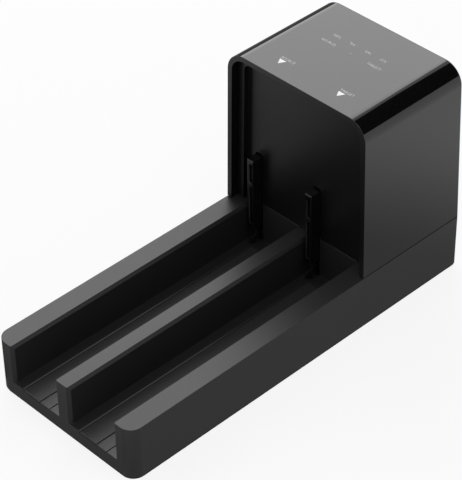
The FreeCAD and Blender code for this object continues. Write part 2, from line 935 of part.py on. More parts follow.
def sunk_screw(x, y, tip):
    """Countersunk screw driven upwards, with a cross recess in its head."""
    clear = plate_gap / 2
    head = Part.makeCone(screw_head_radius, screw_core, screw_head_height, V(x, y, plate_bottom + clear))
    shank = upright(x, y, screw_core, plate_bottom + clear + screw_head_height / 2, tip)
    return fuse(head, shank).cut(cross(x, y, plate_bottom + clear - hair, screw_head_radius, 1))


def cross(x, y, z, reach, sense):
    """Cross recess of a screw head that opens at a level."""
    arm = reach * cross_reach
    half = reach * cross_half_width
    depth = reach * cross_depth
    z0 = min(z, z + sense * depth)
    z1 = max(z, z + sense * depth)
    along_x = box(x - arm, x + arm, y - half, y + half, z0, z1)
    return along_x.fuse(box(x - half, x + half, y - arm, y + arm, z0, z1))


def make_base_screws():
    """Screws that hold the bottom plate to the wall bosses."""
    return Part.makeCompound([sunk_screw(x, y, plate_top + thread_length) for x, y in front_boss_places()])


def make_tower_screws():
    """Long screws that clamp the plate, the base posts and the shell together."""
    return Part.makeCompound([sunk_screw(x, y, base_top + thread_length) for x, y in post_places()])


def pan_screw(x, y, z, sense):
    """Small screw with a flat round head that bears on a level and points the other way."""
    crown = z + sense * small_head_height
    head = upright(x, y, small_head_radius, min(z, crown), max(z, crown))
    reach = sense * (board_thickness + small_thread - thread_play)
    shank = upright(x, y, small_core, min(z, z - reach), max(z, z - reach))
    outside = z + sense * (small_head_height + hair)
    return fuse(head, shank).cut(cross(x, y, outside, small_head_radius, -sense))


def make_board_screws():
    """Screws of the main board, driven down into the standoffs."""
    return Part.makeCompound([pan_screw(x, y, board_top, 1) for x, y in main_screw_places()])


def make_indicator_screws():
    """Screws of the indicator board, driven up into the shell."""
    level = indicator_board_level()
    return Part.makeCompound([pan_screw(x, y, level, -1) for x, y in indicator_screw_places()])


def make_backplane_screws():
    """Screws of the upright board, driven forwards into the base."""
    screws = []
    for x, z in backplane_boss_places():
        screw = pan_screw(0, 0, 0, 1)
        screw.rotate(V(0, 0, 0), V(1, 0, 0), -90)
        screw.translate(V(x, backplane_rear, z))
        screws.append(screw)
    return Part.makeCompound(screws)


def make_indicator_board():
    """Small board under the top of the tower."""
    x = indicator_board_width / 2
    y = indicator_board_front()
    z = indicator_board_level()
    board = box(-x, x, y, y + indicator_board_depth, z, z + indicator_board_thickness)
    for sx, sy in indicator_screw_places():
        board = board.cut(upright(sx, sy, small_pilot + port_gap, z - over,
                                  z + indicator_board_thickness + over))
    return rounded(board, indicator_corner, 2, lambda middle: abs(middle.x) > x - indicator_corner)


def indicator_places():
    """Four progress lamps in a row and one lamp for each drive in front of its outer ends."""
    y = indicator_board_front() + indicator_board_depth / 2 + lamp_row_spacing / 2
    row = [((index - (lamp_count - 1) / 2) * lamp_pitch, y) for index in range(lamp_count)]
    return row + [(row[0][0], y - lamp_row_spacing), (row[-1][0], y - lamp_row_spacing)]


def make_status_lamps():
    """Small lamp bodies on the indicator board."""
    z = indicator_board_level() + indicator_board_thickness
    lamps = []
    for x, y in indicator_places():
        lamps.append(box(x - lamp_length / 2, x + lamp_length / 2, y - lamp_width / 2, y + lamp_width / 2,
                         z, z + lamp_height))
    return Part.makeCompound(lamps)


def make_light_guide():
    """Clear block that lifts the lamp light to the underside of the top, on two legs."""
    low = indicator_board_level() + indicator_board_thickness
    foot = low + lamp_height + lamp_gap
    high = tower_top - shell_wall
    xs = [x for x, y in indicator_places()]
    ys = [y for x, y in indicator_places()]
    guide = box(min(xs) - guide_margin, max(xs) + guide_margin,
                min(ys) - guide_margin, max(ys) + guide_margin,
                high - guide_plate, high)
    length = high - guide_plate - foot
    for x, y in indicator_places():
        guide = guide.fuse(Part.makeCone(guide_foot_radius, guide_top_radius, length, V(x, y, foot)))
    leg = guide_leg / 2
    y = min(ys) + lamp_row_spacing / 2
    for x in (min(xs) - guide_margin + leg, max(xs) + guide_margin - leg):
        guide = guide.fuse(box(x - leg, x + leg, y - leg, y + leg, low, high))
    return guide.removeSplitter()


def cable_levels():
    """Upper and lower level of the flat cable's run, inside its two sockets."""
    high = indicator_board_level() - cable_socket_height / 2
    low = board_top + cable_socket_height / 2
    return high, low


def cable_stations():
    """Where the flat cable starts under the indicator board, and where it hangs down."""
    drop = backplane_rear + small_head_height + cable_bend
    return indicator_board_front() + cable_bend, drop


def make_flat_cable():
    """Flat cable that runs forwards under the indicator board and hangs down to the main board."""
    high, low = cable_levels()
    start, drop = cable_stations()
    half = cable_width / 2
    centre = V(0, drop + cable_bend, high - cable_bend)
    corner = math.sqrt(0.5) * cable_bend
    level_run = Part.makeLine(V(0, start, high), V(0, drop + cable_bend, high))
    halfway = centre + V(0, -corner, corner)
    arc = Part.Arc(V(0, drop + cable_bend, high), halfway, V(0, drop, high - cable_bend))
    hanging_run = Part.makeLine(V(0, drop, high - cable_bend), V(0, drop, low))
    path = Part.Wire([level_run, arc.toShape(), hanging_run])
    lower = high - cable_thickness / 2
    upper = high + cable_thickness / 2
    corners = [V(-half, start, lower), V(half, start, lower), V(half, start, upper), V(-half, start, upper)]
    section = Part.makePolygon(corners + corners[:1])
    return path.makePipeShell([section], True, False)


def make_cable_sockets():
    """Sockets that grip both ends of the flat cable."""
    high, low = cable_levels()
    start, drop = cable_stations()
    half = cable_width / 2 + cable_socket_wall
    thick = cable_thickness / 2 + cable_play
    depth = cable_socket_height
    bottom = board_top
    top = indicator_board_level()
    lower = box(-half, half, drop - depth / 2, drop + depth / 2, bottom, bottom + depth)
    lower = lower.cut(box(-half + cable_socket_wall - cable_play, half - cable_socket_wall + cable_play,
                          drop - thick, drop + thick, low - cable_play, bottom + depth + over))
    upper = box(-half, half, start - depth / 2, start + depth, top - depth, top)
    upper = upper.cut(box(-half + cable_socket_wall - cable_play, half - cable_socket_wall + cable_play,
                          start - depth, start + cable_play, high - thick, high + thick))
    return Part.makeCompound([lower, upper])


def make_usb_shell():
    """Bright metal cover of the data socket, open at the rear."""
    half = usb_width / 2
    front = recess_y - usb_depth
    outer = box(usb_x - half, usb_x + half, front, recess_y, board_top, board_top + usb_height)
    outer = rounded(outer, usb_corner, 1, lambda middle: middle.z > board_top + usb_corner)
    inner = box(usb_x - half + usb_wall, usb_x + half - usb_wall, front + usb_wall, recess_y + over,
                board_top + usb_wall, board_top + usb_height - usb_wall)
    return outer.cut(inner)


def make_usb_body():
    """Insulator of the data socket with its square tongue."""
    half = usb_width / 2 - usb_wall
    front = recess_y - usb_depth + usb_wall
    inner = front + usb_block
    low = board_top + usb_wall
    high = board_top + usb_height - usb_wall
    back_block = box(usb_x - half, usb_x + half, front, inner, low, high)
    z = board_top + usb_height / 2
    tongue = box(usb_x - usb_tongue_width / 2, usb_x + usb_tongue_width / 2, inner - usb_joint,
                 recess_y - usb_tongue_setback, z - usb_tongue_thickness / 2, z + usb_tongue_thickness / 2)
    liner = box(usb_x - half, usb_x + half, inner - usb_joint, recess_y - usb_liner_setback, low, high)
    wall = usb_liner_wall
    room = box(usb_x - half + wall, usb_x + half - wall, inner, recess_y, low + wall, high - wall)
    corner = edges_where(room, 1, lambda middle: middle.z > z)
    return fuse(back_block, liner.cut(room.makeChamfer(usb_liner_chamfer, corner)), tongue)


def make_usb_contacts():
    """Contacts on the upper and the lower side of the square tongue."""
    z = board_top + usb_height / 2
    front = recess_y - usb_depth + usb_wall + usb_block
    pitch = usb_tongue_width / 2
    half = usb_contact_width / 2
    strips = []
    for sense in (-1, 1):
        face = z + sense * usb_tongue_thickness / 2
        skin = face + sense * usb_contact_thickness
        for x in (usb_x - pitch / 2, usb_x + pitch / 2):
            strips.append(box(x - half, x + half, front, recess_y - usb_contact_setback,
                              min(face, skin), max(face, skin)))
    return Part.makeCompound(strips)


def make_power_jack():
    """Round low-voltage inlet in a moulded block."""
    z = board_top + jack_rise
    block = box(jack_x - jack_width / 2, jack_x + jack_width / 2, recess_y - jack_depth, recess_y,
                board_top, board_top + jack_height)
    block = rounded(block, jack_corner, 1, lambda middle: middle.z > z)
    block = block.cut(along_y(jack_x, z, jack_bore, recess_y - jack_bore_depth, recess_y + over))
    rim = [edge for edge in block.Edges if edge.Curve.TypeId == "Part::GeomCircle"
           and abs(edge.Curve.Radius - jack_bore) < 1e-6 and edge.CenterOfMass.y > recess_y - jack_depth / 2]
    return block.makeChamfer(jack_rim, rim)


def make_jack_pin():
    """Centre pin of the inlet with a rounded tip."""
    z = board_top + jack_rise
    pin = along_y(jack_x, z, jack_pin, recess_y - jack_bore_depth, recess_y - jack_pin_setback)
    tip = [edge for edge in pin.Edges if edge.Curve.TypeId == "Part::GeomCircle"
           and edge.CenterOfMass.y > recess_y - jack_bore_depth / 2]
    return pin.makeFillet(jack_pin_round, tip)


def make_switch_body():
    """Power switch body: a thin bezel outside and a box inside, with a pocket for the rocker."""
    z = switch_z()
    bezel = box(rocker_x - bezel_width / 2, rocker_x + bezel_width / 2, recess_y, recess_y + bezel_thickness,
                z - bezel_height / 2, z + bezel_height / 2)
    bezel = rounded(bezel, bezel_corner, 1)
    half_w = bezel_width / 2 - bezel_overlap
    half_h = bezel_height / 2 - bezel_overlap
    can = box(rocker_x - half_w, rocker_x + half_w, recess_y - switch_depth, recess_y + bezel_thickness / 2,
              z - half_h, z + half_h)
    body = fuse(bezel, can)
    pocket_w = rocker_width / 2 + rocker_gap * 2
    pocket_h = rocker_height / 2 + rocker_gap
    pocket = box(rocker_x - pocket_w, rocker_x + pocket_w, pocket_floor(), recess_y + 2 * bezel_thickness,
                 z - pocket_h, z + pocket_h)
    body = body.cut(pocket)
    axle = upright(rocker_x, pivot_y(), pivot_radius + pivot_gap, z - pocket_h - pivot_seat,
                   z + pocket_h + pivot_seat)
    return body.cut(axle)


def pivot_y():
    """Station of the rocker's pivot."""
    return recess_y - pivot_depth


def pocket_floor():
    """Bottom of the rocker's pocket."""
    return pivot_y() - pocket_depth


def make_power_rocker():
    """Rocker with a shallow V face and two pivot stubs, resting at its off side."""
    z = switch_z()
    half = rocker_width / 2
    h = rocker_height / 2
    low = pivot_y() - rocker_keel
    shoulder = pivot_y() - rocker_shoulder
    peak = recess_y + bezel_thickness - rocker_face_drop + rocker_crown
    valley = recess_y + bezel_thickness - rocker_dip
    inner = half - rocker_bevel
    outline = [(rocker_x - half, shoulder, z - h), (rocker_x - half / 3, low, z - h),
               (rocker_x + half / 3, low, z - h), (rocker_x + half, shoulder, z - h),
               (rocker_x + inner, peak, z - h), (rocker_x, valley, z - h), (rocker_x - inner, peak, z - h)]
    body = prism(outline, (0, 0, 2 * h))
    reach = h + rocker_gap + pivot_reach
    stubs = upright(rocker_x, pivot_y(), pivot_radius, z - reach, z + reach)
    body = fuse(body, stubs)
    body.rotate(V(rocker_x, pivot_y(), z), V(0, 0, 1), -rocker_tilt)
    return body


def button_z():
    """Height of the copy button."""
    return board_top + button_rise


def button_inner_y():
    """Front face of the button's flange."""
    return port_inner_y - button_gap - button_flange_thickness


def make_copy_button():
    """Round push button with a retaining flange behind the wall and a slightly dished face."""
    z = button_z()
    cap = along_y(button_x, z, button_radius, button_inner_y(), recess_y + button_proud)
    rim = [edge for edge in cap.Edges if edge.Curve.TypeId == "Part::GeomCircle"
           and edge.CenterOfMass.y > recess_y]
    cap = cap.makeFillet(button_edge, rim)
    flange = along_y(button_x, z, button_radius + button_flange, button_inner_y(),
                     button_inner_y() + button_flange_thickness)
    centre = recess_y + button_proud + button_dish_radius - button_dish_depth
    dish = Part.makeSphere(button_dish_radius, V(button_x, centre, z))
    return fuse(cap, flange).cut(dish)


def make_switch_plunger():
    """Plunger of the copy switch, which the button pushes."""
    y1 = button_inner_y()
    return along_y(button_x, button_z(), plunger_radius, y1 - plunger_length, y1)


def make_tact_switch():
    """Copy switch body on the main board, bored for its plunger."""
    y1 = button_inner_y() - button_travel - tact_gap
    z = button_z()
    body = box(button_x - tact_width / 2, button_x + tact_width / 2, y1 - tact_depth, y1, board_top,
               board_top + tact_height)
    depth = plunger_length + tact_gap
    body = body.cut(along_y(button_x, z, plunger_radius + plunger_gap, y1 - depth, y1 + over))
    upper = edges_where(body, 1, lambda middle: middle.z > board_top + tact_height / 2)
    return body.makeChamfer(tact_chamfer, upper)


def all_parts():
    """Every node of the object by name."""
    parts = {
        "base_cradle": make_base_cradle(),
        "bottom_plate": make_bottom_plate(),
        "tower_shell": make_tower_shell(),
        "front_panel": make_front_panel(),
        "backplane_board": make_backplane_board(),
        "card_socket": make_card_socket(),
        "main_board": make_main_board(),
        "controller_chips": make_controller_chips(),
        "capacitors": make_capacitors(),
        "inductors": make_inductors(),
        "crystals": make_crystals(),
        "indicator_board": make_indicator_board(),
        "status_lamps": make_status_lamps(),
        "light_guide": make_light_guide(),
        "flat_cable": make_flat_cable(),
        "cable_sockets": make_cable_sockets(),
        "usb_socket_shell": make_usb_shell(),
        "usb_socket_body": make_usb_body(),
        "usb_socket_contacts": make_usb_contacts(),
        "power_jack": make_power_jack(),
        "power_jack_pin": make_jack_pin(),
        "power_switch_body": make_switch_body(),
        "power_rocker": make_power_rocker(),
        "copy_button": make_copy_button(),
        "copy_switch_plunger": make_switch_plunger(),
        "copy_switch_body": make_tact_switch(),
        "rubber_feet": make_feet(),
        "base_screws": make_base_screws(),
        "tower_screws": make_tower_screws(),
        "main_board_screws": make_board_screws(),
        "backplane_screws": make_backplane_screws(),
        "indicator_board_screws": make_indicator_screws(),
    }
    for name, side in channel_sides.items():
        parts["floor_pad_" + name] = make_pad(side)
        parts["sata_housing_" + name] = make_sata_housing(side)
        parts["sata_contacts_" + name] = make_sata_contacts(side)
    return parts


os.makedirs("parts", exist_ok=True)
for node, shape in all_parts().items():
    shape.exportStep("parts/" + node + ".step")
    print(node, "solids", len(shape.Solids), "valid", shape.isValid(), "volume", round(shape.Volume, 1))
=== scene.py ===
"""Looks, light and camera of a two-bay drive duplicator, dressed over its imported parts."""

import logging
import math
from dataclasses import dataclass
from enum import Enum

import bmesh
import bpy
import numpy as np
from mathutils import Matrix, Vector

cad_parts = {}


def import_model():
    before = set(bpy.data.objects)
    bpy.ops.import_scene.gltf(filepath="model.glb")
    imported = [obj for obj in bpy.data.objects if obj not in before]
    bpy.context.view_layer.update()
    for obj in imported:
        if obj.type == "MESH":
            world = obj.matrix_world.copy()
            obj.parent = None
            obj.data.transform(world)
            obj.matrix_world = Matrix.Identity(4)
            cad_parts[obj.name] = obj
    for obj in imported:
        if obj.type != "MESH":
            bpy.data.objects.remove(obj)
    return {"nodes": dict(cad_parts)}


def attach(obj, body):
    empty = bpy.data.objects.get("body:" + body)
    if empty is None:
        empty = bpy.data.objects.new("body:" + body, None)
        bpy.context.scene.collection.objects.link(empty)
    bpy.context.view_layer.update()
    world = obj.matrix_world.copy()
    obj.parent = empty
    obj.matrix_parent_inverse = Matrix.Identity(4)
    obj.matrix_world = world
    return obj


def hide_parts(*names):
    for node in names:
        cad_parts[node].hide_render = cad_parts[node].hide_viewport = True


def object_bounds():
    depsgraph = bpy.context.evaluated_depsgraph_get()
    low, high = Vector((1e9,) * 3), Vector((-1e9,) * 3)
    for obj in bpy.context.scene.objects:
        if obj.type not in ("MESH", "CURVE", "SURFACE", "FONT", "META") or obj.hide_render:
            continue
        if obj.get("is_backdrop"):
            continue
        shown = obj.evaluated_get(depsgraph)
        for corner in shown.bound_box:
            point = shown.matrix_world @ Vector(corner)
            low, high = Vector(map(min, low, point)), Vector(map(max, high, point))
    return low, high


log = logging.getLogger("drive_duplicator")
MM = 0.001
WHITE = (1.0, 1.0, 1.0, 1.0)
Point = tuple[float, float, float]


def math_node(tree: bpy.types.NodeTree, operation: str, second: float | None = None) -> bpy.types.Node:
    """Adds a math node to a tree.

    Args:
        tree: the tree.
        operation: its operation, such as MULTIPLY.
        second: constant of its second input, where that input isn't linked.

    Returns:
        The node.
    """
    node = tree.nodes.new("ShaderNodeMath")
    node.operation = operation
    if second is not None:
        node.inputs[1].default_value = second
    return node


class Grain(Enum):
    """How high the moulded grain of a plastic is, in millimetres."""

    NONE = 0.0
    SILK = 0.004
    SPARK = 0.012
    COARSE = 0.03


@dataclass(frozen=True)
class Finish:
    """One finish: a Principled surface with moulded grain and a little handling wear.

    Attributes:
        name: material name.
        colour: linear base colour.
        roughness: mean roughness of the surface.
        metallic: 1 for bare or plated metal.
        coat: weight of a clear, polished top layer.
        coat_roughness: roughness of that layer.
        grain: height of the moulded grain, in millimetres.
        grain_size: width of one grain, in millimetres.
        wear: how far smudges change the roughness.
        specular: specular level of the plastic.
        transmission: 1 for a clear moulding.
    """

    name: str
    colour: tuple[float, float, float]
    roughness: float
    metallic: float = 0.0
    coat: float = 0.0
    coat_roughness: float = 0.03
    grain: Grain = Grain.NONE
    grain_size: float = 0.4
    wear: float = 0.1
    specular: float = 0.5
    transmission: float = 0.0

    def build(self, groups: "EffectGroups") -> bpy.types.Material:
        """Makes the material.

        Args:
            groups: the shared effects.

        Returns:
            The finished material.
        """
        material = bpy.data.materials.new(self.name)
        material.use_nodes = True
        nodes, links = material.node_tree.nodes, material.node_tree.links
        shader = nodes["Principled BSDF"]
        shader.inputs["Metallic"].default_value = self.metallic
        shader.inputs["Coat Weight"].default_value = self.coat
        shader.inputs["Coat Roughness"].default_value = self.coat_roughness
        shader.inputs["Specular IOR Level"].default_value = self.specular
        shader.inputs["Transmission Weight"].default_value = self.transmission
        place = nodes.new("ShaderNodeTexCoord")
        surface = nodes.new("ShaderNodeGroup")
        surface.node_tree = groups.handled_surface
        surface.inputs["Colour"].default_value = (*self.colour, 1.0)
        surface.inputs["Roughness"].default_value = self.roughness
        surface.inputs["Wear"].default_value = self.wear
        links.new(place.outputs["Object"], surface.inputs["Place"])
        links.new(surface.outputs["Colour"], shader.inputs["Base Color"])
        links.new(surface.outputs["Roughness"], shader.inputs["Roughness"])
        if self.grain is not Grain.NONE:
            moulded = nodes.new("ShaderNodeGroup")
            moulded.node_tree = groups.moulded_grain
            moulded.inputs["Size"].default_value = self.grain_size * MM
            links.new(place.outputs["Object"], moulded.inputs["Place"])
            bump = nodes.new("ShaderNodeBump")
            bump.inputs["Distance"].default_value = self.grain.value * MM
            links.new(moulded.outputs["Height"], bump.inputs["Height"])
            links.new(bump.outputs["Normal"], shader.inputs["Normal"])
        return material


@dataclass
class EffectGroups:
    """Shader node groups that the finishes share.

    Attributes:
        finer_by: how many times finer the second layer of grain is.
        finer_share: height of that layer, where the first is 1.
        grain_detail: octaves of each layer of grain.
        smudge_scale: smudges in a metre.
        smudge_detail: octaves of the smudges.
        smudge_twist: how far the smudges are distorted.
        speck_scale: specks of dust in a metre.
        speck_detail: octaves of the specks.
        speck_start: noise level at which a speck starts.
        speck_full: noise level at which it is full.
        dust_share: how much of a full speck shows.
        dust_colour: linear colour of the dust.
    """

    finer_by: float = 3.0
    finer_share: float = 0.4
    grain_detail: float = 1.0
    smudge_scale: float = 28.0
    smudge_detail: float = 3.0
    smudge_twist: float = 0.6
    speck_scale: float = 2400.0
    speck_detail: float = 2.0
    speck_start: float = 0.62
    speck_full: float = 0.8
    dust_share: float = 0.05
    dust_colour: tuple[float, float, float, float] = (0.35, 0.34, 0.32, 1.0)

    def __post_init__(self) -> None:
        """Builds both groups once."""
        self.moulded_grain = self._moulded_grain()
        self.handled_surface = self._handled_surface()

    @staticmethod
    def _socket(tree: bpy.types.NodeTree, name: str, kind: str, side: str,
                value: float | None = None) -> None:
        """Adds one socket to a group.

        Args:
            tree: the group.
            name: socket name.
            kind: socket type, such as NodeSocketFloat.
            side: INPUT or OUTPUT.
            value: default of a number socket.
        """
        socket = tree.interface.new_socket(name=name, in_out=side, socket_type=kind)
        if value is not None:
            socket.default_value = value

    def _moulded_grain(self) -> bpy.types.NodeTree:
        """Grain of a spark-eroded mould: two layers of noise, the finer one at a third of the size.

        Returns:
            The group, which puts out a height between 0 and 1.
        """
        tree = bpy.data.node_groups.new("moulded_grain", "ShaderNodeTree")
        self._socket(tree, "Place", "NodeSocketVector", "INPUT")
        self._socket(tree, "Size", "NodeSocketFloat", "INPUT", 0.0004)
        self._socket(tree, "Height", "NodeSocketFloat", "OUTPUT")
        nodes, links = tree.nodes, tree.links
        inside, outside = nodes.new("NodeGroupInput"), nodes.new("NodeGroupOutput")
        frequency = math_node(tree, "DIVIDE")
        frequency.inputs[0].default_value = 1.0
        links.new(inside.outputs["Size"], frequency.inputs[1])
        finer = math_node(tree, "MULTIPLY", self.finer_by)
        links.new(frequency.outputs[0], finer.inputs[0])
        total = math_node(tree, "MULTIPLY_ADD", self.finer_share)
        for index, source in enumerate((frequency, finer)):
            noise = nodes.new("ShaderNodeTexNoise")
            noise.inputs["Detail"].default_value = self.grain_detail
            links.new(inside.outputs["Place"], noise.inputs["Vector"])
            links.new(source.outputs[0], noise.inputs["Scale"])
            links.new(noise.outputs["Fac"], total.inputs[2 if index == 0 else 0])
        links.new(total.outputs[0], outside.inputs["Height"])
        return tree

    def _handled_surface(self) -> bpy.types.NodeTree:
        """Smudges and dust: broad noise shifts the roughness, and fine noise leaves faint specks.

        Returns:
            The group, which puts out a colour and a roughness.
        """
        tree = bpy.data.node_groups.new("handled_surface", "ShaderNodeTree")
        self._socket(tree, "Place", "NodeSocketVector", "INPUT")
        self._socket(tree, "Colour", "NodeSocketColor", "INPUT")
        self._socket(tree, "Roughness", "NodeSocketFloat", "INPUT", 0.5)
        self._socket(tree, "Wear", "NodeSocketFloat", "INPUT", 0.1)
        self._socket(tree, "Colour", "NodeSocketColor", "OUTPUT")
        self._socket(tree, "Roughness", "NodeSocketFloat", "OUTPUT")
        nodes, links = tree.nodes, tree.links
        inside, outside = nodes.new("NodeGroupInput"), nodes.new("NodeGroupOutput")
        smudge = nodes.new("ShaderNodeTexNoise")
        smudge.inputs["Scale"].default_value = self.smudge_scale
        smudge.inputs["Detail"].default_value = self.smudge_detail
        smudge.inputs["Distortion"].default_value = self.smudge_twist
        links.new(inside.outputs["Place"], smudge.inputs["Vector"])
        mean_noise = 0.5
        centred = math_node(tree, "SUBTRACT", mean_noise)
        links.new(smudge.outputs["Fac"], centred.inputs[0])
        spread = math_node(tree, "MULTIPLY")
        links.new(centred.outputs[0], spread.inputs[0])
        links.new(inside.outputs["Wear"], spread.inputs[1])
        scaled = math_node(tree, "MULTIPLY_ADD")
        links.new(spread.outputs[0], scaled.inputs[0])
        links.new(inside.outputs["Roughness"], scaled.inputs[1])
        links.new(inside.outputs["Roughness"], scaled.inputs[2])
        links.new(scaled.outputs[0], outside.inputs["Roughness"])
        speck = nodes.new("ShaderNodeTexNoise")
        speck.inputs["Scale"].default_value = self.speck_scale
        speck.inputs["Detail"].default_value = self.speck_detail
        links.new(inside.outputs["Place"], speck.inputs["Vector"])
        amount = nodes.new("ShaderNodeMapRange")
        amount.inputs["From Min"].default_value = self.speck_start
        amount.inputs["From Max"].default_value = self.speck_full
        amount.inputs["To Max"].default_value = self.dust_share
        links.new(speck.outputs["Fac"], amount.inputs["Value"])
        dusted = nodes.new("ShaderNodeMix")
        dusted.data_type = "RGBA"
        dusted.inputs["B"].default_value = self.dust_colour
        links.new(amount.outputs["Result"], dusted.inputs["Factor"])
        links.new(inside.outputs["Colour"], dusted.inputs["A"])
        links.new(dusted.outputs["Result"], outside.inputs["Colour"])
        return tree


@dataclass(frozen=True)
class Palette:
    """Every finish of the object."""

    base: Finish = Finish("matte_black_plastic", (0.0135, 0.0135, 0.0139), 0.42, grain=Grain.SPARK,
                          grain_size=0.35)
    shell: Finish = Finish("gloss_black_plastic", (0.0035, 0.0035, 0.0037), 0.07, wear=0.25)
    panel: Finish = Finish("satin_black_panel", (0.004, 0.004, 0.0042), 0.34, wear=0.1, specular=0.4)
    strip: Finish = Finish("soft_strip", (0.024, 0.024, 0.025), 0.46, grain=Grain.SILK)
    bead: Finish = Finish("strip_bead", (0.02, 0.02, 0.021), 0.3)
    # Painted shade: a near black, dull finish for the flat ribbon that stands for the shadow in the groove
    # beside each strip.
    seam: Finish = Finish("strip_groove_shade", (0.002, 0.002, 0.002), 0.6, specular=0.1)
    connector: Finish = Finish("connector_plastic", (0.004, 0.004, 0.0042), 0.24, specular=0.4)
    port: Finish = Finish("port_plastic", (0.012, 0.012, 0.0125), 0.3, grain=Grain.SILK)
    gold: Finish = Finish("gold_plate", (0.83, 0.6, 0.22), 0.25, metallic=1.0)
    spring: Finish = Finish("contact_springs", (0.12, 0.115, 0.105), 0.35, metallic=1.0)
    board: Finish = Finish("circuit_board", (0.004, 0.009, 0.006), 0.4, coat=0.3)
    dark_board: Finish = Finish("dark_board", (0.003, 0.004, 0.0035), 0.4, coat=0.2)
    chip: Finish = Finish("chip_package", (0.025, 0.025, 0.026), 0.6, grain=Grain.SILK)
    can: Finish = Finish("can_aluminium", (0.72, 0.73, 0.74), 0.35, metallic=1.0)
    steel: Finish = Finish("zinc_steel", (0.56, 0.57, 0.58), 0.36, metallic=1.0)
    nickel: Finish = Finish("nickel_plate", (0.7, 0.7, 0.69), 0.2, metallic=1.0)
    clear: Finish = Finish("clear_guide", (0.92, 0.94, 0.95), 0.08, transmission=1.0)
    lamp: Finish = Finish("lamp_body", (0.8, 0.82, 0.76), 0.3)
    cable: Finish = Finish("cable_jacket", (0.6, 0.61, 0.63), 0.45, grain=Grain.SILK)
    rocker: Finish = Finish("rocker_plastic", (0.012, 0.012, 0.013), 0.18, wear=0.3)
    button: Finish = Finish("button_plastic", (0.014, 0.014, 0.015), 0.28, grain=Grain.SILK)
    rubber: Finish = Finish("foot_rubber", (0.02, 0.02, 0.021), 0.75, grain=Grain.COARSE, grain_size=0.25)
    ink: Finish = Finish("pale_ink", (0.62, 0.62, 0.62), 0.5)
    faint_ink: Finish = Finish("faint_ink", (0.2, 0.2, 0.2), 0.5)
    bright_ink: Finish = Finish("bright_ink", (0.9, 0.9, 0.9), 0.5)


